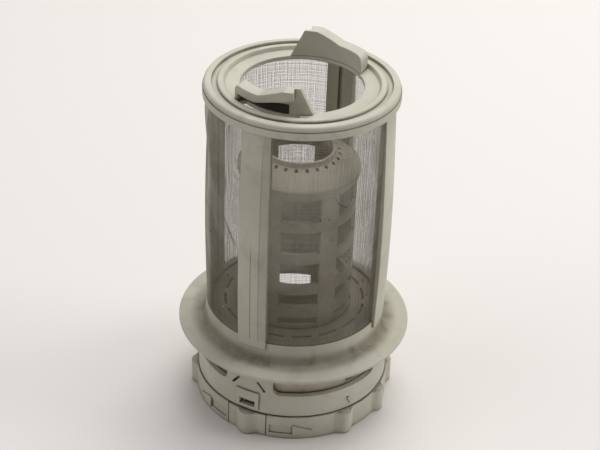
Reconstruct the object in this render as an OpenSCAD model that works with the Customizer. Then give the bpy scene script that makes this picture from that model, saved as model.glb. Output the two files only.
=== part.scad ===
// Dishwasher filter: a fine mesh cage with a bayonet cap over a coarse inner basket.
// It stands on its grip ring. The latch faces -Y and every bearing is counted from there towards +X.

/* [Cage] */
// Outer radius of the fine mesh
mesh_r = 38.5; // [36:0.5:42]
// Thickness of the mesh wall
mesh_t = 0.6; // [0.4:0.1:0.8]
// Height of the mesh between collar and hoop
mesh_h = 99.6; // [92:0.2:120]
// Number of slits in each mesh panel
slits = 30; // [12:1:30]
// Height of one mesh slit
slit_h = 1.4; // [0.8:0.1:2]
// Solid selvedge of a mesh panel beside each rib
selvedge = 0.8; // [0.5:0.1:2]
// Depth of the ribs inside the mesh face
rib_depth = 2; // [1.6:0.1:2.6]
// Width of a rib, as an angle
rib_span = 19; // [14:1:22]
// Bearing of the rib to the right of the latch
side_rib = 97; // [88:1:100]
// How far the ribs bow out past the mesh
rib_bow = 1.8; // [1:0.1:2.4]
// Width of the groove in each rib's inner face
rib_groove_w = 1.6; // [1:0.1:2.4]
// Depth of the groove in each rib's inner face
rib_groove_d = 1; // [0.5:0.1:1.2]
// Height of the hoop at the top of the cage
hoop_h = 3.1; // [2.6:0.1:5]
// How far the hoop stands out past the mesh
hoop_proud = 1.9; // [1.5:0.1:2.5]

/* [Collar and flange] */
// Height of the collar above the flange
collar_h = 9.2; // [7:0.1:12]
// How far the collar flares out past the mesh
collar_flare = 2.1; // [1.5:0.1:3]
// Width of the flange outside the collar
flange_w = 10; // [7:0.5:14]
// Thickness of the flange
flange_t = 1.2; // [1:0.1:1.6]
// Set-back of the lip under the flange
lip_inset = 1.2; // [0.8:0.1:2]
// Width of the lip under the flange
lip_w = 1.5; // [1:0.1:2.5]
// Height of the lip under the flange
lip_h = 1.2; // [0.8:0.1:2]

/* [Sleeve] */
// Thickness of the sleeve at its top
sleeve_t = 1.7; // [1.4:0.1:2.2]
// How much the sleeve widens to its lower edge
sleeve_flare = 1; // [0.4:0.1:1.4]
// Height of the sill under the sleeve's slots
slot_sill = 10.7; // [9:0.1:12]
// Bearing where the first slot starts, past the latch
slot_start = 15.5; // [14:0.5:20]
// Width of the posts at the sides, as an angle
side_post = 9.4; // [8:0.2:16]
// Radius of the slots' lower corners
slot_round = 3; // [1.5:0.5:4]
// Width of the latch window, as an angle
window_span = 10; // [9:0.5:11]
// Height of the latch window
window_h = 3; // [2.6:0.1:3.4]
// Height of the bar under the latch window
window_sill = 2.4; // [2:0.1:3]

/* [Cap] */
// Width of the flat rim
rim_w = 3.2; // [2:0.1:4]
// Width of the plate round the mouth
plate_w = 6.1; // [5.2:0.1:7]
// Height of the cap above the hoop
cap_h = 2.3; // [2:0.1:3.5]
// Set-back of the cap from the hoop's edge
cap_ledge = 0.4; // [0.3:0.1:0.8]
// Rounding of the cap's outer edge
cap_round = 1.2; // [0.6:0.1:1.5]
// Thickness of the plate round the mouth
plate_t = 1.6; // [1.2:0.1:2]
// Depth of the plate below the rim
plate_drop = 1.5; // [1:0.1:2]
// Width of the round bead
bead_w = 2.4; // [1.5:0.1:3]
// Width of the groove outside the bead
groove_w = 2.4; // [1.5:0.1:3]
// Depth of the groove outside the bead
groove_d = 1.2; // [0.6:0.1:1.5]

/* [Lugs] */
// Number of bayonet lugs
lug_count = 2; // [1:1:3]
// Thickness of the lug's upright wall
lug_t = 1.4; // [1:0.1:2]
// Set-back of the lug's wall from the mouth's edge
lug_set = 0.3; // [0.2:0.1:0.6]
// Reach of the lug's flange past the mouth
lug_reach = 5.7; // [4.2:0.1:5.7]
// Height of the lug above the plate
lug_h = 11.3; // [9:0.1:14]
// Height of the lug's low end above the plate
lug_low_h = 7.3; // [6:0.1:8]
// Thickness of the lug's flange
lug_flange_t = 3.6; // [2.4:0.1:4]

/* [Basket] */
// Outer radius of the basket's tube
basket_r = 24.6; // [22:0.2:26]
// Thickness of the basket's walls
basket_t = 1.6; // [1.2:0.1:2]
// Number of tall window rows
window_rows = 3; // [2:1:3]
// Height of a tall window
tall_h = 10.4; // [8:0.2:12]
// Height of the bars between tall windows
bar_h = 5; // [3:0.2:6]
// Window width, as an angle
pane_span = 40; // [30:1:44]
// Thickness of the web across the tube
web_t = 1.6; // [1:0.1:2.4]
// Radius of the opening in the dome
dome_mouth_r = 14; // [10:0.5:16]
// Rise of the dome from its skirt to its mouth
dome_rise = 7; // [4:0.5:10]
// Height of the dome's skirt
skirt_h = 3; // [2:0.2:5]
// Number of small holes round the dome's mouth
dome_holes = 24; // [12:1:30]
// Diameter of the small holes
dome_hole_d = 1.1; // [0.8:0.1:1.4]
// Number of arc slots in the floor
arc_slots = 16; // [8:1:20]
// Width of the arc slots
arc_w = 1.2; // [0.8:0.1:2]
// Thickness of the floor
floor_t = 2; // [1.4:0.1:3]
// Height of the floor's tube above the neck
floor_rise = 10; // [8:0.2:12]

/* [Neck and grip ring] */
// Height of the neck above the ground
neck_h = 35.5; // [33:0.5:40]
// Step from the floor's tube out to the neck
neck_step = 2.9; // [2.4:0.1:3.4]
// Sill under the neck's windows
neck_sill = 22.5; // [21:0.5:24]
// Width of the neck's windows, as an angle
neck_window_span = 54; // [40:1:60]
// Height of the grip ring
grip_h = 11.4; // [10.6:0.1:12.4]
// How far the grip ring stands out past the sleeve
grip_step = 0.7; // [0.4:0.1:1.5]
// Thickness of the grip ring's walls
grip_t = 1.5; // [1.2:0.1:1.7]
// How far the finger lobes stand out
lobe_proud = 2.3; // [1.2:0.1:3]
// Radius of a finger lobe
lobe_r = 3.2; // [2.6:0.1:3.6]
// Depth of the arrows
arrow_d = 0.5; // [0.3:0.1:0.6]

/* [Latch] */
// Half width of the latch pad, as an angle
pad_half = 12.2; // [11:0.2:12.6]
// Half width of the latch's stem, as an angle
stem_half = 4.2; // [3.4:0.2:4.4]
// How far the nose stands into the window
nose_proud = 0.6; // [0.3:0.1:0.6]
// Height of the nose
nose_h = 2.4; // [1.8:0.1:2.5]

/* [Fits] */
// Running clearance between cage and basket
slide_gap = 0.3; // [0.2:0.05:0.4]
// Clearance between sleeve and grip ring
seam_gap = 0.2; // [0.15:0.05:0.3]
// Clearance of pressed joints
press_gap = 0.15; // [0.1:0.01:0.2]

/* [Hidden] */
$fn = 96;
plastic = "#b9b5a3";
plastic_dark = "#a39f8d";
weave = "#c9c8c0";
eps = 0.2;

// Radii, from the mesh inwards to the basket and outwards to the grip ring
rib_in_r = mesh_r - rib_depth;
collar_in_r = rib_in_r - 0.2;
tube_r = collar_in_r - slide_gap;
neck_r = tube_r + neck_step;
neck_in_r = neck_r - basket_t;
sleeve_in_r = neck_r + slide_gap + 0.1;
sleeve_top_r = sleeve_in_r + sleeve_t;
sleeve_low_r = sleeve_top_r + sleeve_flare;
grip_r = sleeve_low_r + grip_step;
grip_in_r = neck_r + press_gap;
collar_r = mesh_r + collar_flare;
collar_top_r = mesh_r + 0.1;
flange_r = collar_r + flange_w;
lip_r = flange_r - lip_inset;
hoop_r = mesh_r + hoop_proud;
hoop_in_r = rib_in_r - 0.3;
cap_r = hoop_r - cap_ledge;
basket_in_r = basket_r - basket_t;

// Heights, from the ground up
sleeve_z = grip_h + seam_gap;
seat_z = neck_h + slide_gap;
seat_t = flange_t + 0.4;
flange_z = seat_z + seat_t;
flange_low_z = flange_z - flange_t;
collar_z = flange_z + collar_h;
hoop_z = collar_z + mesh_h;
cap_z = hoop_z + hoop_h;
rim_z = cap_z + cap_h;
plate_z = rim_z - plate_drop;
slot_z = sleeve_z + slot_sill;
window_z = sleeve_z + window_sill;
floor_z = neck_h + floor_rise;

// Window rows of the basket, as heights over its floor
low_rows = [[1.8, 3.7], [11.7, 5.7]];
tall_start = 22.4;
tall_pitch = tall_h + bar_h;
wall_top_z = floor_z + tall_start + (window_rows - 1) * tall_pitch + tall_h + 2.3;
skirt_r = basket_r + 1.2;
skirt_z = wall_top_z + skirt_h;
dome_z = skirt_z + dome_rise;

// Bearings of the four ribs, and of the panels between them
ribs = [0, side_rib, 180, side_rib + 180];

// Cap circles, from the rim in to the mouth
groove_out_r = cap_r - rim_w;
bead_out_r = groove_out_r - groove_w;
bead_r = bead_out_r - bead_w;
step_r = bead_r - 0.6;
mouth_r = step_r - plate_w;
lug_in_r = mouth_r + lug_set;
lug_wall_r = lug_in_r + lug_t;

// Latch hinge line, near the ground behind the pad
pad_in_r = grip_r - grip_t;
pad_root_r = grip_in_r + 1.35;
hinge_r = pad_in_r - 0.2;
hinge_z = 1.5;
latch_slot = pad_half + 0.5;

// A stretch of a ring between two bearings
module sector(r0, r1, z0, z1, from, to) {
    rotate([0, 0, from - 90])
        rotate_extrude(angle = to - from)
            translate([r0, z0])
                square([r1 - r0, z1 - z0]);
}

// A full ring
module ring(r0, r1, z0, z1) {
    rotate_extrude()
        translate([r0, z0])
            square([r1 - r0, z1 - z0]);
}

// An outline in width and height, standing across the radius at one bearing
module facing(bearing, r0, r1) {
    rotate([0, 0, bearing])
        translate([0, -r0, 0])
            rotate([90, 0, 0])
                linear_extrude(r1 - r0)
                    children();
}

// Sideways offset of a bearing on a circle
function across(r, bearing) = r * sin(bearing);

// Outer radius of the ribs, bowed between hoop and collar
function rib_r(z) =
    let (t = (hoop_z - z) / (hoop_z - collar_z))
    mesh_r + 0.1 + rib_bow * sin(145 * t);

// One rib, from inside the hoop down over the collar
module rib(bearing) {
    foot = collar_z - 3;
    steps = 9;
    bow = [for (i = [0 : steps]) let (z = hoop_z + (foot - hoop_z) * i / steps) [rib_r(z), z]];
    difference() {
        rotate([0, 0, bearing - rib_span / 2 - 90])
            rotate_extrude(angle = rib_span)
                polygon(concat([[rib_in_r, foot], [rib_in_r, hoop_z + eps], [rib_r(hoop_z), hoop_z + eps]], bow));
        facing(bearing, rib_in_r - 2, rib_in_r + rib_groove_d)
            translate([-rib_groove_w / 2, collar_z + 2])
                square([rib_groove_w, mesh_h - 4]);
    }
}

// Collar, flange with its lip, and the sleeve round the neck
module cage_foot() {
    curve = [for (i = [0 : 6])
        let (a = 90 * i / 6)
        [collar_r - (collar_r - collar_top_r) * sin(a), flange_z + (collar_h - 0.5) * (1 - cos(a))]];
    edge = 0.3;
    rotate_extrude()
        polygon(concat(
            [[collar_in_r, collar_z], [collar_in_r, seat_z], [sleeve_in_r, seat_z], [sleeve_in_r, sleeve_z],
             [sleeve_low_r - edge, sleeve_z], [sleeve_low_r, sleeve_z + edge], [sleeve_top_r, flange_low_z],
             [lip_r - lip_w, flange_low_z], [lip_r - lip_w, flange_low_z - lip_h], [lip_r, flange_low_z - lip_h],
             [lip_r, flange_low_z], [flange_r - edge, flange_low_z], [flange_r, flange_low_z + edge],
             [flange_r, flange_z - edge], [flange_r - edge, flange_z]],
            curve,
            [[collar_top_r, collar_z]]));
}

// One long slot of the sleeve with rounded lower corners
module sleeve_slot(from, to) {
    r0 = sleeve_in_r - 1;
    r1 = sleeve_low_r + 1;
    corner = slot_round / sleeve_top_r * 57.3;
    top = flange_low_z;
    sector(r0, r1, slot_z + slot_round, top, from, to);
    sector(r0, r1, slot_z, slot_z + slot_round + eps, from + corner, to - corner);
    for (b = [from + corner, to - corner])
        rotate([0, 0, b])
            translate([0, -r0, slot_z + slot_round])
                rotate([90, 0, 0])
                    cylinder(r = slot_round, h = r1 - r0);
}

// A slanting slit beside the latch tongue
module tongue_slit(side) {
    slit_w = 1;
    slit_l = 5.6;
    facing(side * 8.4, sleeve_in_r - 1, sleeve_low_r + 1)
        translate([0, slot_z + 2.7])
            rotate(side * 38)
                translate([-slit_w / 2, -slit_l / 2])
                    square([slit_w, slit_l]);
}

module cage() {
    color(plastic) {
        difference() {
            union() {
                cage_foot();
                // The tongue stands a little proud round the window
                sector(sleeve_in_r + 0.5, sleeve_low_r + 0.4, sleeve_z + 1.1, slot_z - 0.6, -7.5, 7.5);
                // A small slanting mark beside it
                facing(63.5, sleeve_low_r - 0.5, sleeve_low_r + 0.35)
                    translate([0, window_z + 1.4])
                        rotate(28)
                            square([0.9, 4], center = true);
            }
            sleeve_slot(slot_start, 90 - side_post / 2);
            sleeve_slot(90 + side_post / 2, 180 - slot_start);
            sleeve_slot(180 + slot_start, 270 - side_post / 2);
            sleeve_slot(270 + side_post / 2, 360 - slot_start);
            tongue_slit(1);
            tongue_slit(-1);
            // Latch window, and the lead-in groove below it
            sector(sleeve_in_r - 1, sleeve_low_r + 1, window_z, window_z + window_h, -window_span / 2, window_span / 2);
            sector(sleeve_in_r - 1, sleeve_in_r + 0.9, sleeve_z - 1, window_z + eps, -window_span / 2, window_span / 2);
        }
        for (b = ribs)
            rib(b);
        ring(hoop_in_r, hoop_r, hoop_z, cap_z);
    }
}

// One mesh panel between two ribs: upright selvedges and fine bars with slits between them
module mesh_panel(left_rib, right_rib) {
    from = left_rib + rib_span / 2;
    to = right_rib - rib_span / 2;
    margin = selvedge / mesh_r * 57.3;
    pitch = mesh_h / slits;
    r0 = mesh_r - mesh_t;
    color(weave) {
        sector(r0, mesh_r, collar_z, hoop_z, from, from + margin);
        sector(r0, mesh_r, collar_z, hoop_z, to - margin, to);
        for (i = [0 : slits]) {
            z0 = i == 0 ? collar_z : collar_z + pitch * (i - 0.5) + slit_h / 2;
            z1 = i == slits ? hoop_z : collar_z + pitch * (i + 0.5) - slit_h / 2;
            sector(r0 + 0.1, mesh_r - 0.1, z0 + 0.1, z1 - 0.1, from + margin / 2, to - margin / 2);
        }
    }
}

module mesh_front_right() { mesh_panel(ribs[0], ribs[1]); }
module mesh_back_right() { mesh_panel(ribs[1], ribs[2]); }
module mesh_back_left() { mesh_panel(ribs[2], ribs[3]); }
module mesh_front_left() { mesh_panel(ribs[3], ribs[0] + 360); }

// Disc with rim, groove, bead, mouth and the spigot that drops into the hoop
module cap_disc() {
    spigot_r = hoop_in_r - press_gap;
    spigot_h = 2.4;
    round_edge = [for (a = [0 : 15 : 90]) [cap_r - cap_round + cap_round * cos(a), rim_z - cap_round + cap_round * sin(a)]];
    rotate_extrude()
        polygon(concat(
            [[mouth_r - 1, plate_z - plate_t], [spigot_r - 1.5, plate_z - plate_t], [spigot_r - 1.5, cap_z - spigot_h],
             [spigot_r, cap_z - spigot_h], [spigot_r, cap_z], [cap_r, cap_z]],
            round_edge,
            [[groove_out_r, rim_z], [groove_out_r, rim_z - groove_d], [bead_out_r, rim_z - groove_d],
             [bead_out_r, rim_z - 0.4], [bead_out_r - 0.4, rim_z], [bead_r, rim_z], [step_r, plate_z],
             [mouth_r - 1, plate_z]]));
}

// Upright outline of a lug: rounded low end, ramp, high flat and slanting end
function lug_outline() =
    let (low = plate_z + lug_low_h, top = plate_z + lug_h, bend = 2.6)
    let (mid_r = mouth_r + lug_reach / 2, end_x = across(mouth_r, -41))
    concat(
        [[end_x, plate_z - eps]],
        [for (a = [180 : -18 : 90]) [end_x + bend + bend * cos(a), low - bend + bend * sin(a)]],
        [[across(mid_r, -8), low], [across(mid_r, 13), top], [across(mouth_r, 26.5), top],
         [across(mouth_r, 39), plate_z], [across(mouth_r, 39), plate_z - eps]]);

// Hollow under a lug's flange, closed at the low end
function lug_hollow() =
    let (low = plate_z + lug_low_h - lug_flange_t, mid_r = mouth_r + lug_reach / 2)
    let (end_x = across(mouth_r, -41) + 1.6)
    [[end_x, plate_z - 1], [end_x, low], [across(mid_r, -12), low], [across(mid_r, 5), low + 2.4],
     [across(mid_r, 20) + 4, low + 4.6], [across(mid_r, 20) + 4, plate_z - 1]];

// One bayonet lug: wall on the mouth's edge, ramped flange and closed low end
module lug() {
    reach_r = mouth_r + lug_reach;
    top = plate_z + lug_h + 1;
    intersection() {
        ring(lug_in_r, lug_wall_r, plate_z - 0.4, top);
        facing(0, 0, reach_r + 4)
            polygon(lug_outline());
    }
    difference() {
        intersection() {
            ring(lug_wall_r - eps, reach_r, plate_z - 0.3, top);
            facing(0, 0, reach_r + 4)
                polygon(lug_outline());
        }
        sector(lug_wall_r - 2, reach_r + 4, plate_z - 1, top + 1, 20, 80);
        facing(0, 0, reach_r + 5)
            polygon(lug_hollow());
    }
}

module end_cap() {
    slot_in_r = lug_wall_r + 0.15;
    slot_out_r = mouth_r + lug_reach + 0.3;
    low = plate_z - plate_t - 1;
    color(plastic)
        difference() {
            union() {
                cap_disc();
                for (i = [0 : lug_count - 1])
                    rotate([0, 0, 360 / lug_count * i])
                        lug();
            }
            translate([0, 0, low])
                cylinder(r = mouth_r, h = lug_h + 5);
            for (i = [0 : lug_count - 1])
                rotate([0, 0, 360 / lug_count * i])
                    sector(slot_in_r, slot_out_r, low, plate_z + 1, -28, 24.7);
        }
}

// Dome, tube wall, floor, floor tube and neck as one turned profile
module basket_body() {
    t = basket_t;
    lip = 1;
    mouth_z = dome_z - 1.8;
    rotate_extrude()
        polygon([
            [basket_in_r, floor_z - floor_t], [tube_r - t, floor_z - floor_t], [tube_r - t, neck_h - t],
            [neck_in_r, neck_h - t], [neck_in_r, 0.3], [neck_r, 0.3], [neck_r, neck_h], [tube_r, neck_h],
            [tube_r, floor_z - 0.4], [tube_r - 0.4, floor_z], [basket_r, floor_z], [basket_r, wall_top_z],
            [skirt_r, wall_top_z], [skirt_r, skirt_z - 0.6], [skirt_r - 0.8, skirt_z],
            [dome_mouth_r + lip + 0.6, mouth_z], [dome_mouth_r + lip, dome_z], [dome_mouth_r, dome_z],
            [dome_mouth_r, mouth_z - t], [basket_in_r, skirt_z - t]]);
}

// Plate across the tube with a round bead down its middle
module web() {
    web_z = floor_z + tall_start + 1.6;
    web_top = skirt_z - 2.2;
    half = basket_in_r + 0.4;
    rotate([0, 0, 120])
        translate([-web_t / 2, -half, web_z])
            cube([web_t, 2 * half, web_top - web_z]);
    translate([0, 0, web_z])
        cylinder(d = web_t + 1, h = web_top - web_z - 2);
}

module coarse_basket() {
    rows = concat(low_rows, [for (i = [0 : window_rows - 1]) [tall_start + i * tall_pitch, tall_h]]);
    color(plastic_dark) {
        difference() {
            basket_body();
            for (row = rows, k = [0 : 5])
                sector(basket_in_r - 1, basket_r + 0.6, floor_z + row[0], floor_z + row[0] + row[1],
                       30 + 60 * k - pane_span / 2, 30 + 60 * k + pane_span / 2);
            for (i = [0 : arc_slots - 1])
                sector((basket_r + tube_r - arc_w) / 2, (basket_r + tube_r + arc_w) / 2,
                       floor_z - floor_t - 1, floor_z + 1,
                       360 / arc_slots * (i + 0.5) - 128 / arc_slots - 0.5,
                       360 / arc_slots * (i + 0.5) + 128 / arc_slots - 0.5);
            for (i = [0 : dome_holes - 1])
                rotate([0, 0, 360 / dome_holes * (i + 0.5)])
                    translate([0, -(dome_mouth_r + 2.8), dome_z - 8])
                        cylinder(d = dome_hole_d, h = 9, $fn = 24);
            for (b = [-30, 90, 210])
                sector(neck_in_r - 1, neck_r + 1, neck_sill, neck_h - basket_t, b - neck_window_span / 2,
                       b + neck_window_span / 2);
            // Notch where the latch's stem swings in
            sector(neck_in_r - 1, neck_r + 1, -1, window_z + window_h + 2, -7, 7);
        }
        web();
    }
}

// Rounded finger lobe with a chamfered top
module lobe(height) {
    translate([0, -(grip_r + lobe_proud - lobe_r), 0]) {
        cylinder(r = lobe_r, h = height - 1.2);
        translate([0, 0, height - 1.2])
            cylinder(r1 = lobe_r, r2 = lobe_r - 1, h = 1.1);
    }
}

// Arrow head outline, pointing to +X
module arrow_head() {
    polygon([[0, -2.9], [0, 2.9], [8.6, 0]]);
}

module grip_ring() {
    mid = [27.5, -27.5];
    arrow_z = 4.6;
    color(plastic)
        difference() {
            union() {
                ring(grip_in_r - 0.5, grip_r, 0, grip_h);
                for (b = [60 : 30 : 300])
                    rotate([0, 0, b])
                        lobe(grip_h);
                // Raised arrow heads
                intersection() {
                    ring(grip_r - 0.5, grip_r + arrow_d, 0, grip_h);
                    union() {
                        facing(mid[0], grip_r - 3, grip_r + 3)
                            translate([0.4, arrow_z])
                                arrow_head();
                        facing(mid[1], grip_r - 3, grip_r + 3)
                            translate([-0.4, arrow_z])
                                mirror([1, 0])
                                    arrow_head();
                    }
                }
            }
            // Bore round the neck, and the hollow from below
            translate([0, 0, -1])
                cylinder(r = grip_in_r, h = grip_h + 2);
            ring(grip_in_r + 1, grip_r - grip_t, -1, grip_h - grip_t);
            // Sunk arrow shafts
            intersection() {
                ring(grip_r - arrow_d, grip_r + 2, 0, grip_h);
                for (side = [1, -1])
                    facing(side * 21, grip_r - 3, grip_r + 3)
                        translate([-5, arrow_z - 2])
                            square([10, 4]);
            }
            // Gap for the latch pad, and for its stem through the inner wall
            sector(grip_in_r + 1, grip_r + 5, -1, grip_h + 1, -latch_slot, latch_slot);
            sector(grip_in_r - 1, grip_r + 5, 7.4, grip_h + 1, -latch_slot, latch_slot);
        }
}

module latch() {
    stem_in_r = neck_in_r + 0.3;
    stem_out_r = sleeve_in_r - slide_gap;
    pad_top = grip_h - 0.2;
    nose_z = window_z + 0.3;
    color(plastic) {
        sector(pad_in_r, grip_r, 0.4, pad_top, -pad_half, pad_half);
        difference() {
            lobe(pad_top);
            translate([0, 0, -1])
                cylinder(r = pad_in_r + 0.3, h = grip_h + 2);
            translate([-lobe_r - 1, -grip_r - 6, -1])
                cube([2 * lobe_r + 2, 12, 1.4]);
        }
        // Root beside the ring's inner wall, where the pad bends
        sector(pad_root_r, pad_in_r + eps, 0.4, 2.6, -10, 10);
        // Bridge under the sleeve, stem behind it and the nose in the window
        sector(stem_in_r, pad_in_r + eps, 8.6, pad_top, -stem_half, stem_half);
        sector(stem_in_r, stem_out_r, 8.6, nose_z + nose_h, -stem_half, stem_half);
        rotate([0, 0, -stem_half - 90])
            rotate_extrude(angle = 2 * stem_half)
                polygon([[stem_out_r - eps, nose_z], [sleeve_in_r + nose_proud, nose_z],
                         [sleeve_in_r + nose_proud, nose_z + 0.8], [stem_out_r - eps, nose_z + nose_h]]);
    }
}

coarse_basket();
grip_ring();
latch();
cage();
end_cap();
mesh_front_right();
mesh_back_right();
mesh_back_left();
mesh_front_left();
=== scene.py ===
import math

import bpy
from mathutils import Matrix, Vector


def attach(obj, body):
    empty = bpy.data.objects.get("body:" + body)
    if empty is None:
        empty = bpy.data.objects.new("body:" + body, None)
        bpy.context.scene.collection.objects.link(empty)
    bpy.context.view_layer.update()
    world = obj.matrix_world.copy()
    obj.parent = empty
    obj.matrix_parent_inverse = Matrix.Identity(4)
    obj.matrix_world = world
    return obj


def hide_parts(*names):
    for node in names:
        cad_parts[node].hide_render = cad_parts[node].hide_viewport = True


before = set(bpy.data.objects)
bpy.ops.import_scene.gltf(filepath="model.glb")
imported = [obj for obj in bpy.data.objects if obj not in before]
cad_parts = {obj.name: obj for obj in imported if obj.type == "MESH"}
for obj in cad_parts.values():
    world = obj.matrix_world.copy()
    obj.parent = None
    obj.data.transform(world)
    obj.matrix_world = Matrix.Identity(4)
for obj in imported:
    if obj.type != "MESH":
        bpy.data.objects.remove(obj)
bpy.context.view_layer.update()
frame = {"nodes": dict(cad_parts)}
print("frame loaded:", ", ".join(frame["nodes"]))

# The view of the photograph: an upright camera turned round the filter, a little tilted to one side
viewSettings = {
    "bearing": 26.0,  # degrees from the latch towards +X
    "place": (1.3061, -541.004, 426.755),  # mm, with the bearing still at 0
    "forward": (0.0, 0.8437053, -0.5368066),
    "right": (0.9992027, 0.0214317, 0.0336845),
    "lens": 90.0,
    "sensor": 36.0,
}

# Where the mesh runs, in mm and degrees from the latch
meshSettings = {
    "radius": 38.2,
    "low": 46.6,
    "high": 146.2,
    "pitch": 0.4,
    "thread": 0.12,
    "step": 1.3,
    "layer": 0.05,
    "uneven": 0.42,  # of the pitch
    "seed": 11,
    "dark": (0.30, 0.275, 0.21),
    "clean": (0.52, 0.505, 0.445),
    # colour of the painted glints on the threads
    "shine": (0.66, 0.65, 0.60),
}

# One panel each: bearings of its edges, depth of its soft folds, the height, foot and lean of a crease, and
# how far its right edge is gathered into small scallops
meshPanels = {
    "mesh_front_right": {"span": (9.5, 87.5), "fold": 0.35, "crease": (0.4, 62.0, -0.22), "scallop": 0.0},
    "mesh_back_right": {"span": (106.5, 170.5), "fold": 0.12, "crease": (0.0, 0.0, 0.0), "scallop": 0.0},
    "mesh_back_left": {"span": (189.5, 267.5), "fold": 0.15, "crease": (0.0, 0.0, 0.0), "scallop": 0.0},
    "mesh_front_left": {"span": (286.5, 350.5), "fold": 0.55, "crease": (1.4, 69.3, -0.619), "scallop": 0.9},
}

plasticSettings = {
    "clean": (0.50, 0.485, 0.395),
    "pale": (0.59, 0.58, 0.485),
    # colour of real grime and of painted shade in corners and seams
    "grimeShadeColour": (0.15, 0.125, 0.078),
    "roughness": 0.5,
    "rounding": 0.45,  # mm
}

basketSettings = {
    **plasticSettings,
    "clean": (0.43, 0.385, 0.29),
    "pale": (0.54, 0.50, 0.40),
}

# Filleted finger lobes over the plain ones, in mm and degrees
lobeSettings = {
    "bearings": (0, 60, 90, 120, 150, 180, 210, 240, 270, 300),
    "ring": 42.72,
    "proud": 2.42,
    "half": 6.7,
    "top": 10.9,
    "low": 0.3,
    "rounding": 2.2,
}

# Dark stains round the small holes of the dome, in mm
stainSettings = {
    "count": 24,
    "radius": 16.8,
    "height": 118.94,
    "slope": 0.553,
    "inner": 0.52,
    "outer": 0.82,
}

# Bits caught on the outside of the mesh: bearing, height, width and length in mm
crumbSettings = {
    "radius": 38.5,
    "pale": ((-24.3, 56.0, 0.7, 0.9), (-11.5, 68.2, 0.6, 0.8), (77.8, 58.9, 0.6, 0.7), (57.8, 95.5, 0.5, 1.0),
             (53.6, 95.3, 0.5, 0.8), (56.1, 98.7, 0.5, 0.7)),
    "dark": ((-23.6, 78.7, 0.7, 1.1), (-20.5, 73.3, 0.6, 0.9), (-43.2, 86.5, 0.8, 1.2), (45.5, 108.4, 0.3, 1.4),
             (47.4, 98.7, 0.3, 1.2), (73.0, 73.3, 0.3, 1.5), (78.1, 63.9, 0.3, 1.5)),
    "hair": ((48.5, 118.8), (49.8, 116.9), (50.7, 115.7), (52.7, 114.4), (55.0, 113.4), (57.0, 112.8)),
    "hairWidth": 0.28,
}


# Sockets that read as plain numbers in an expression
class Wire:
    def __init__(self, tree, socket):
        self.tree = tree
        self.socket = socket

    def maths(self, operation, *values):
        return makeNode(self.tree, "ShaderNodeMath", {"operation": operation}, values)

    def __add__(self, other):
        return self.maths("ADD", self, other)

    def __radd__(self, other):
        return self.maths("ADD", other, self)

    def __sub__(self, other):
        return self.maths("SUBTRACT", self, other)

    def __rsub__(self, other):
        return self.maths("SUBTRACT", other, self)

    def __mul__(self, other):
        return self.maths("MULTIPLY", self, other)

    def __rmul__(self, other):
        return self.maths("MULTIPLY", other, self)

    def __truediv__(self, other):
        return self.maths("DIVIDE", self, other)

    def __rtruediv__(self, other):
        return self.maths("DIVIDE", other, self)

    def __pow__(self, other):
        return self.maths("POWER", self, other)

    def __neg__(self):
        return self.maths("MULTIPLY", self, -1.0)


# Adds a node, sets its settings first and then its sockets
def makeNode(tree, kind, settings=None, values=(), output=0):
    node = tree.nodes.new(kind)
    for name, value in (settings or {}).items():
        setattr(node, name, value)
    pairs = values.items() if isinstance(values, dict) else enumerate(values)
    for key, value in pairs:
        if value is None:
            continue
        if isinstance(value, Wire):
            tree.links.new(value.socket, node.inputs[key])
        else:
            node.inputs[key].default_value = value
    return Wire(tree, node.outputs[output])


def mapRange(tree, value, low, high, toLow=0.0, toHigh=1.0):
    return makeNode(tree, "ShaderNodeMapRange", {"interpolation_type": "SMOOTHSTEP"},
                    {"Value": value, "From Min": low, "From Max": high, "To Min": toLow, "To Max": toHigh})


def mixColour(tree, factor, first, second, blend="MIX"):
    node = tree.nodes.new("ShaderNodeMix")
    node.data_type = "RGBA"
    node.blend_type = blend
    for index, value in ((0, factor), (6, first), (7, second)):
        if isinstance(value, Wire):
            tree.links.new(value.socket, node.inputs[index])
        elif isinstance(value, tuple):
            node.inputs[index].default_value = (*value, 1.0)
        else:
            node.inputs[index].default_value = value
    return Wire(tree, node.outputs[2])


def noise(tree, place, scale, detail=3.0, roughness=0.5, distortion=0.0):
    return makeNode(tree, "ShaderNodeTexNoise", {"noise_dimensions": "3D"},
                    {"Vector": place, "Scale": scale, "Detail": detail, "Roughness": roughness,
                     "Distortion": distortion})


def newMaterial(name):
    material = bpy.data.materials.new(name)
    material.use_nodes = True
    tree = material.node_tree
    shader = next(node for node in tree.nodes if node.type == "BSDF_PRINCIPLED")
    place = makeNode(tree, "ShaderNodeTexCoord", output=3)
    return material, tree, shader, place


def feed(tree, shader, socketName, wire):
    tree.links.new(wire.socket, shader.inputs[socketName])


# Painted shade at the foot of the collar, two faint lines down the front rib and a painted shaded strip on the rib, in
# metres
markSettings = {
    "footInner": 0.0415,
    "footOuter": 0.0465,
    "footLow": 0.0365,
    "footHigh": 0.0435,
    "ribLines": ((-0.0006, 0.098, 0.75), (0.0031, 0.143, 0.45)),
    "lineWidth": 0.00022,
    "shade": 0.0033,
}


def coordinates(tree, place):
    parts = tree.nodes.new("ShaderNodeSeparateXYZ")
    tree.links.new(place.socket, parts.inputs[0])
    return [Wire(tree, socket) for socket in parts.outputs]


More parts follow.
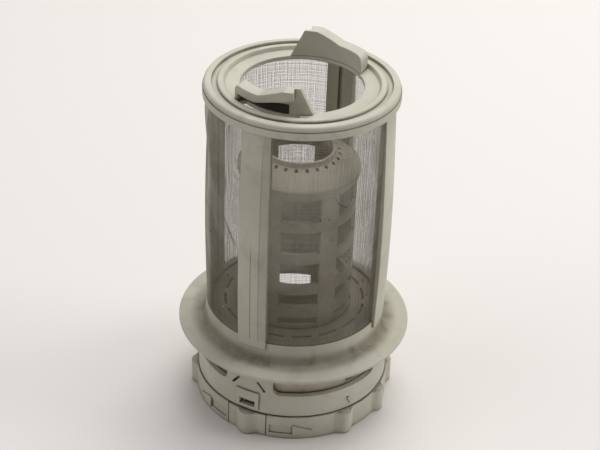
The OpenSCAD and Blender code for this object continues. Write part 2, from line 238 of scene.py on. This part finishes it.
def cageMarks(tree, place, blotch):
    x, y, z = coordinates(tree, place)
    radius = (x * x + y * y) ** 0.5
    marks = markSettings
    # painted shade at the foot of the collar, varied by blotches
    foot = mapRange(tree, radius, marks["footInner"], marks["footOuter"], 1.0, 0.0) \
        * mapRange(tree, z, marks["footLow"], marks["footLow"] + 0.001) \
        * mapRange(tree, z, marks["footHigh"] - 0.004, marks["footHigh"], 1.0, 0.0) * (0.3 + 0.5 * blotch)
    onRib = mapRange(tree, y, -0.03, -0.035) * mapRange(tree, radius, 0.0382, 0.0386) * mapRange(tree, z, 0.047, 0.048)
    total = foot
    for centre, top, strength in marks["ribLines"]:
        aside = (x - centre) / marks["lineWidth"]
        total = total + aside.maths("EXPONENT", aside * aside * -1.0) * onRib * strength \
            * mapRange(tree, z, top - 0.012, top, 1.0, 0.0)
    # painted shade on a strip of the rib's face
    shaded = mapRange(tree, x, marks["shade"] - 0.0003, marks["shade"]) * mapRange(tree, x, 0.0075, 0.0074) * onRib
    return total + shaded * 0.16 * mapRange(tree, z, 0.1455, 0.145)


# Moulded plastic, faded and stained by use, with painted shade in its corners and seams
def plasticMaterial(name, settings, stainAndShade=1.0, marked=False):
    material, tree, shader, place = newMaterial(name)
    broad = noise(tree, place, 22.0, 3.0, 0.55)
    blotch = noise(tree, place, 95.0, 5.0, 0.62, 0.6)
    speck = noise(tree, place, 420.0, 3.0, 0.6)
    grain = noise(tree, place, 2600.0, 2.0, 0.5)
    shaded = makeNode(tree, "ShaderNodeAmbientOcclusion", {"samples": 6}, {"Distance": 0.0045}, output=1)
    base = mixColour(tree, mapRange(tree, broad, 0.35, 0.7), settings["clean"], settings["pale"])
    seamOcclusion = makeNode(tree, "ShaderNodeAmbientOcclusion", {"samples": 6}, {"Distance": 0.0011}, output=1)
    # painted shade: darker in corners and recesses, from ambient occlusion
    corners = mapRange(tree, shaded, 0.25, 0.9, 1.0, 0.0) * (0.35 + 0.65 * mapRange(tree, blotch, 0.35, 0.65))
    # painted shade: dark lines in tight corners and seams, from close ambient occlusion
    lines = mapRange(tree, seamOcclusion, 0.4, 0.9, 1.0, 0.0) * 0.85
    spots = mapRange(tree, speck, 0.66, 0.74) * mapRange(tree, broad, 0.45, 0.62) * 0.35
    washes = mapRange(tree, blotch, 0.5, 0.72) * 0.16
    # real specks and washes together with the painted corner and seam shade
    grimeShadeMask = makeNode(tree, "ShaderNodeMath", {"operation": "ADD", "use_clamp": True},
                    ((corners * 0.6 + lines + spots) * stainAndShade, washes * stainAndShade))
    if marked:
        grimeShadeMask = makeNode(tree, "ShaderNodeMath", {"operation": "ADD", "use_clamp": True},
                        (grimeShadeMask, cageMarks(tree, place, blotch)))
    feed(tree, shader, "Base Color", mixColour(tree, grimeShadeMask, base, settings["grimeShadeColour"]))
    feed(tree, shader, "Roughness", settings["roughness"] + 0.12 * blotch)
    rounded = makeNode(tree, "ShaderNodeBevel", {"samples": 4}, {"Radius": settings["rounding"] / 1000})
    bump = makeNode(tree, "ShaderNodeBump", None,
                    {"Strength": 0.35, "Distance": 0.00012, "Height": grain + 0.6 * speck, "Normal": rounded})
    feed(tree, shader, "Normal", bump)
    shader.inputs["Specular IOR Level"].default_value = 0.42
    return material


# Fine grey monofilament with a greenish film where water stood, darker towards the bottom, with painted glints
def threadMaterial():
    material, tree, shader, place = newMaterial("meshThread")
    film = noise(tree, place, 60.0, 4.0, 0.6, 0.4)
    # darker towards the bottom
    lowDarkening = mapRange(tree, coordinates(tree, place)[2], 0.048, 0.1, 0.75, 0.0)
    fine = noise(tree, place, 700.0, 2.0)
    base = mixColour(tree, mapRange(tree, film + lowDarkening * 0.45, 0.38, 0.75), meshSettings["clean"], meshSettings["dark"])
    # painted glints: lighter specks in the shine colour
    base = mixColour(tree, mapRange(tree, fine, 0.55, 0.8) * 0.4, base, meshSettings["shine"])
    feed(tree, shader, "Base Color", base)
    feed(tree, shader, "Roughness", 0.34 + 0.2 * film)
    return material


plastic = plasticMaterial("fadedPlastic", plasticSettings)
cagePlastic = plasticMaterial("cagePlastic", plasticSettings, 1.0, True)
capPlastic = plasticMaterial("capPlastic", {**plasticSettings, "rounding": 0.6}, 0.8)
basketPlastic = plasticMaterial("stainedShadedPlastic", basketSettings, 1.3)
thread = threadMaterial()
for name, node in frame["nodes"].items():
    finish = {"coarse_basket": basketPlastic, "end_cap": capPlastic, "cage": cagePlastic}.get(name, plastic)
    for slot in node.material_slots:
        slot.material = finish
print("materials ready")


def addInput(tree, name, kind, value=None):
    socket = tree.interface.new_socket(name, in_out="INPUT", socket_type=kind)
    if value is not None:
        socket.default_value = value
    return socket


def vectorOf(tree, x, y, z):
    return makeNode(tree, "ShaderNodeCombineXYZ", None, (x, y, z))


# Crossing threads laid on a turned wall, with soft folds
def weaveTree():
    tree = bpy.data.node_groups.new("weave", "GeometryNodeTree")
    tree.interface.new_socket("Geometry", in_out="OUTPUT", socket_type="NodeSocketGeometry")
    for name, value in (("Bearing", 0.0), ("Width", 0.05), ("Height", 0.1), ("Low", 0.0), ("Radius", 0.038),
                        ("Pitch", 0.0004), ("Thread", 0.0001), ("Step", 0.001), ("Layer", 0.00005), ("Fold", 0.0006), ("Seed", 0.0),
                        ("Crease", 0.0), ("Crease Low", 0.0), ("Crease Lean", 0.0), ("Scallop", 0.0)):
        addInput(tree, name, "NodeSocketFloat", value)
    addInput(tree, "Material", "NodeSocketMaterial")
    source = tree.nodes.new("NodeGroupInput")
    given = {socket.name: Wire(tree, socket) for socket in source.outputs if socket.name}
    width, height, pitch = given["Width"], given["Height"], given["Pitch"]
    radius = given["Radius"]

    def stepsIn(length, step):
        return (length / step).maths("FLOOR", length / step) + 1.0

    def threads(count, step, end, points, side):
        starts = makeNode(tree, "GeometryNodeMeshLine", {"mode": "OFFSET"}, {"Count": count, "Offset": step})
        uneven = makeNode(tree, "FunctionNodeRandomValue", {"data_type": "FLOAT"},
                          {2: meshSettings["uneven"] * -1.0, 3: meshSettings["uneven"], "Seed": given["Seed"] * 2.0 + side}, output=1)
        shift = makeNode(tree, "ShaderNodeVectorMath", {"operation": "SCALE"}, {0: step, "Scale": uneven})
        starts = makeNode(tree, "GeometryNodeSetPosition", None, {"Geometry": starts, "Offset": shift})
        line = makeNode(tree, "GeometryNodeCurvePrimitiveLine", None, {"End": end})
        line = makeNode(tree, "GeometryNodeResampleCurve", {"mode": "COUNT"}, {"Curve": line, "Count": points})
        laid = makeNode(tree, "GeometryNodeInstanceOnPoints", None, {"Points": starts, "Instance": line})
        laid = makeNode(tree, "GeometryNodeRealizeInstances", None, {"Geometry": laid})
        spot = makeNode(tree, "GeometryNodeInputPosition")
        parts = tree.nodes.new("ShaderNodeSeparateXYZ")
        tree.links.new(spot.socket, parts.inputs[0])
        u, v = Wire(tree, parts.outputs[0]), Wire(tree, parts.outputs[2])
        turn = given["Bearing"] + u / radius
        out = radius + given["Layer"] * side + folds(u, v)
        place = vectorOf(tree, out * u.maths("SINE", turn), out * u.maths("COSINE", turn) * -1.0,
                         v + given["Low"])
        laid = makeNode(tree, "GeometryNodeSetPosition", None, {"Geometry": laid, "Position": place})
        ring = makeNode(tree, "GeometryNodeCurvePrimitiveCircle", {"mode": "RADIUS"},
                        {"Resolution": 3, "Radius": given["Thread"] * 0.5})
        return makeNode(tree, "GeometryNodeCurveToMesh", None, {"Curve": laid, "Profile Curve": ring})

    def folds(u, v):
        sideways, along = u / width, v / height
        edge = mapRange(tree, sideways * (1.0 - sideways), 0.0, 0.09) * mapRange(tree, along * (1.0 - along), 0.0, 0.06)
        soft = noise(tree, vectorOf(tree, u * 1.5, given["Seed"], v * 0.9), 34.0, 0.0, 0.35) - 0.5
        line = u - given["Crease Low"] - v * given["Crease Lean"]
        crease = line.maths("EXPONENT", (line / 0.0022) * (line / 0.0022) * -1.0) * given["Crease"]
        gather = (width - u - 0.001) / 0.0028
        gather = gather.maths("EXPONENT", gather * gather * -1.0) * mapRange(tree, v, 0.045, 0.062) \
            * mapRange(tree, v, 0.094, 0.084)
        ripple = v.maths("SINE", v * (2 * math.pi / 0.0068)) * 0.5 + 0.5
        return soft * 2.6 * given["Fold"] * edge + crease * edge + ripple * gather * given["Scallop"]

    warp = threads(stepsIn(width, pitch), vectorOf(tree, pitch, 0.0, 0.0), vectorOf(tree, 0.0, 0.0, height),
                   stepsIn(height, given["Step"]), 1.0)
    weft = threads(stepsIn(height, pitch), vectorOf(tree, 0.0, 0.0, pitch), vectorOf(tree, width, 0.0, 0.0),
                   stepsIn(width, given["Step"]), -1.0)
    join = tree.nodes.new("GeometryNodeJoinGeometry")
    tree.links.new(warp.socket, join.inputs[0])
    tree.links.new(weft.socket, join.inputs[0])
    whole = makeNode(tree, "GeometryNodeRealizeInstances", None, {"Geometry": Wire(tree, join.outputs[0])})
    whole = makeNode(tree, "GeometryNodeSetMaterial", None, {"Geometry": whole, "Material": given["Material"]})
    target = tree.nodes.new("NodeGroupOutput")
    tree.links.new(whole.socket, target.inputs[0])
    return tree


# Runs a tree on an empty mesh and keeps the result as a plain piece
def plainMesh(name, tree, values, body):
    carrier = bpy.data.objects.new(name + "Carrier", bpy.data.meshes.new(name + "Carrier"))
    bpy.context.collection.objects.link(carrier)
    modifier = carrier.modifiers.new("make", "NODES")
    modifier.node_group = tree
    for socket in tree.interface.items_tree:
        if socket.item_type == "SOCKET" and socket.in_out == "INPUT" and socket.name in values:
            modifier[socket.identifier] = values[socket.name]
    graph = bpy.context.evaluated_depsgraph_get()
    made = bpy.data.meshes.new_from_object(carrier.evaluated_get(graph), depsgraph=graph)
    bpy.data.objects.remove(carrier)
    piece = bpy.data.objects.new(name, made)
    made.name = name
    bpy.context.collection.objects.link(piece)
    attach(piece, body)
    return piece


weave = weaveTree()
for index, (node, panel) in enumerate(meshPanels.items()):
    fromAngle, toAngle = panel["span"]
    creaseHeight, creaseFoot, creaseLean = panel["crease"]
    radius = meshSettings["radius"] / 1000
    height = (meshSettings["high"] - meshSettings["low"]) / 1000
    width = math.radians(toAngle - fromAngle) * radius
    values = {
        "Bearing": math.radians(fromAngle),
        "Width": width,
        "Height": height,
        "Low": meshSettings["low"] / 1000,
        "Radius": radius,
        "Pitch": meshSettings["pitch"] / 1000,
        "Thread": meshSettings["thread"] / 1000,
        "Step": meshSettings["step"] / 1000,
        "Layer": meshSettings["layer"] / 1000,
        "Seed": float(meshSettings["seed"] + index),
        "Fold": panel["fold"] / 1000,
        "Crease": creaseHeight / 1000,
        "Crease Low": creaseFoot / 1000,
        "Crease Lean": creaseLean,
        "Scallop": panel["scallop"] / 1000,
        "Material": thread,
    }
    piece = plainMesh(node.replace("mesh", "weave"), weave, values, "fine_filter")
    for polygon in piece.data.polygons:
        polygon.use_smooth = True
    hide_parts(node)
    print(piece.name, len(piece.data.polygons), "faces")


# A point on a circle round the filter, from mm and degrees
def spot(bearing, radius, height):
    angle = math.radians(bearing)
    return (radius * math.sin(angle) / 1000, -radius * math.cos(angle) / 1000, height / 1000)


# Keeps a plain piece from corners and faces, facing outwards
def addPiece(name, corners, faces, material, body):
    made = bpy.data.meshes.new(name)
    made.from_pydata(corners, [], faces)
    made.materials.append(material)
    for polygon in made.polygons:
        polygon.use_smooth = True
    piece = bpy.data.objects.new(name, made)
    bpy.context.collection.objects.link(piece)
    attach(piece, body)
    return piece


# One skin per finger lobe, a bell across and rounded at the top
def addLobe(bearing, settings, body):
    columns, rows = 24, 10
    corners, faces = [], []
    for row in range(rows + 1):
        lift = row / rows
        height = settings["low"] + (settings["top"] - settings["low"]) * min(1.0, lift * 1.6)
        turnIn = max(0.0, lift - 0.625) / 0.375
        drop = settings["rounding"] * (1 - math.sin(math.pi / 2 * (1 - turnIn)))
        for column in range(columns + 1):
            side = 2 * column / columns - 1
            bell = 0.5 + 0.5 * math.cos(math.pi * min(1.0, abs(side) ** 1.25))
            out = max(-0.15, settings["proud"] * bell - drop)
            corners.append(spot(bearing + side * settings["half"], settings["ring"] + out, height))
    for row in range(rows):
        for column in range(columns):
            first = row * (columns + 1) + column
            faces.append((first, first + 1, first + columns + 2, first + columns + 1))
    return addPiece("lobe%03d" % bearing, corners, faces, plastic, body)


def addStains(settings):
    corners, faces = [], []
    points = 12
    for index in range(settings["count"]):
        bearing = 360 / settings["count"] * (index + 0.5)
        first = len(corners)
        for ring in (settings["inner"], settings["outer"]):
            for point in range(points):
                angle = 2 * math.pi * point / points
                out = ring * math.cos(angle)
                aside = math.degrees(ring * math.sin(angle) / settings["radius"])
                corners.append(spot(bearing + aside, settings["radius"] + out,
                                    settings["height"] - out * settings["slope"] + 0.06))
        for point in range(points):
            after = (point + 1) % points
            faces.append((first + point, first + points + point, first + points + after, first + after))
    return addPiece("holeStains", corners, faces, stainAndShade, "coarse_filter")


# Flat bits, a little domed, lying on the mesh
def addCrumbs(name, places, material):
    corners, faces = [], []
    points = 8
    for bearing, height, width, length in places:
        first = len(corners)
        corners.append(spot(bearing, crumbSettings["radius"] + 0.3, height))
        for point in range(points):
            angle = 2 * math.pi * point / points
            aside = math.degrees(width / 2 * math.cos(angle) / crumbSettings["radius"])
            corners.append(spot(bearing + aside, crumbSettings["radius"], height + length / 2 * math.sin(angle)))
        for point in range(points):
            faces.append((first, first + 1 + point, first + 1 + (point + 1) % points))
    return addPiece(name, corners, faces, material, "fine_filter")


def addHair(settings):
    corners, faces = [], []
    for bearing, height in settings["hair"]:
        for side in (-0.5, 0.5):
            corners.append(spot(bearing, settings["radius"] + 0.15, height + side * settings["hairWidth"]))
    for index in range(len(settings["hair"]) - 1):
        faces.append((2 * index, 2 * index + 2, 2 * index + 3, 2 * index + 1))
    return addPiece("hair", corners, faces, stainAndShade, "fine_filter")


# Painted shade: a dark sheet on the wall behind each lug, where the photograph is almost black; in mm and degrees
lugShadeSettings = {"radius": 27.06, "low": 150.3, "high": 154.4, "span": (-26.5, 16.0), "centres": (0, 180)}


def addLugShade(settings):
    corners, faces = [], []
    columns = 16
    fromAngle, toAngle = settings["span"]
    for centre in settings["centres"]:
        first = len(corners)
        for column in range(columns + 1):
            bearing = centre + fromAngle + (toAngle - fromAngle) * column / columns
            corners.append(spot(bearing, settings["radius"], settings["low"]))
            corners.append(spot(bearing, settings["radius"], settings["high"]))
        for column in range(columns):
            start = first + 2 * column
            faces.append((start, start + 2, start + 3, start + 1))
    return addPiece("lugShade", corners, faces, stainAndShade, "fine_filter")


def plainMaterial(name, colour, roughness):
    material, tree, shader, place = newMaterial(name)
    blotch = noise(tree, place, 900.0, 2.0)
    feed(tree, shader, "Base Color", mixColour(tree, blotch, colour, tuple(0.7 * part for part in colour)))
    shader.inputs["Roughness"].default_value = roughness
    return material


# dark colour for real stains, crumbs and hair, and for the painted shade behind the lugs
stainAndShade = plainMaterial("darkStainAndShade", (0.045, 0.04, 0.03), 0.8)
paleCrumb = plainMaterial("paleCrumb", (0.62, 0.6, 0.53), 0.5)
for bearing in lobeSettings["bearings"]:
    addLobe(bearing, lobeSettings, "latch_tongue" if bearing == 0 else "coarse_filter")
addStains(stainSettings)
addCrumbs("paleCrumbs", crumbSettings["pale"], paleCrumb)
addCrumbs("darkCrumbs", crumbSettings["dark"], stainAndShade)
addHair(crumbSettings)
addLugShade(lugShadeSettings)
print("lobes, stains and crumbs added")


def addArea(name, place, size, power, colour):
    light = bpy.data.lights.new(name, "AREA")
    light.shape = "DISK"
    light.size = size
    light.energy = power
    light.color = colour
    lamp = bpy.data.objects.new(name, light)
    lamp.location = place
    lamp.rotation_euler = (Vector((0, 0, 0.08)) - place).to_track_quat("-Z", "Y").to_euler()
    bpy.context.collection.objects.link(lamp)


turn = Matrix.Rotation(math.radians(viewSettings["bearing"]), 4, "Z")
addArea("topLight", turn @ Vector((0.15, 0.25, 1.6)), 1.2, 11.0, (1.0, 0.99, 0.975))
addArea("windowLight", turn @ Vector((0.25, 1.0, 1.1)), 1.3, 8.8, (1.0, 0.99, 0.975))
addArea("sideLight", turn @ Vector((1.3, 0.1, 0.7)), 0.9, 7.5, (1.0, 0.99, 0.97))
addArea("softLight", turn @ Vector((-1.1, -0.2, 1.0)), 1.3, 4.5, (0.99, 0.99, 1.0))


def buildStage():
    floor = bpy.data.meshes.new("floor")
    reach = 4.0
    floor.from_pydata([(-reach, -reach, 0), (reach, -reach, 0), (reach, reach, 0), (-reach, reach, 0)], [],
                      [(0, 1, 2, 3)])
    ground = bpy.data.objects.new("floor", floor)
    bpy.context.collection.objects.link(ground)
    material, tree, shader, place = newMaterial("paleFloor")
    shader.inputs["Base Color"].default_value = (0.82, 0.79, 0.765, 1.0)
    shader.inputs["Roughness"].default_value = 0.7
    shader.inputs["Specular IOR Level"].default_value = 0.2
    floor.materials.append(material)
    world = bpy.data.worlds.new("softRoom")
    bpy.context.scene.world = world
    world.use_nodes = True
    world.node_tree.nodes["Background"].inputs["Color"].default_value = (0.93, 0.925, 0.92, 1.0)
    world.node_tree.nodes["Background"].inputs["Strength"].default_value = 0.19


buildStage()


def addCamera():
    data = bpy.data.cameras.new("camera")
    data.lens = viewSettings["lens"]
    data.sensor_width = viewSettings["sensor"]
    data.clip_start = 0.01
    camera = bpy.data.objects.new("camera", data)
    right = Vector(viewSettings["right"])
    back = -Vector(viewSettings["forward"])
    up = back.cross(right)
    place = Vector(viewSettings["place"]) / 1000
    upright = Matrix.Identity(4)
    for column, axis in enumerate((right, up, back, place)):
        for row in range(3):
            upright[row][column] = axis[row]
    camera.matrix_world = turn @ upright
    bpy.context.collection.objects.link(camera)
    bpy.context.scene.camera = camera


addCamera()
bpy.context.scene.view_settings.view_transform = "Standard"
print("scene ready")
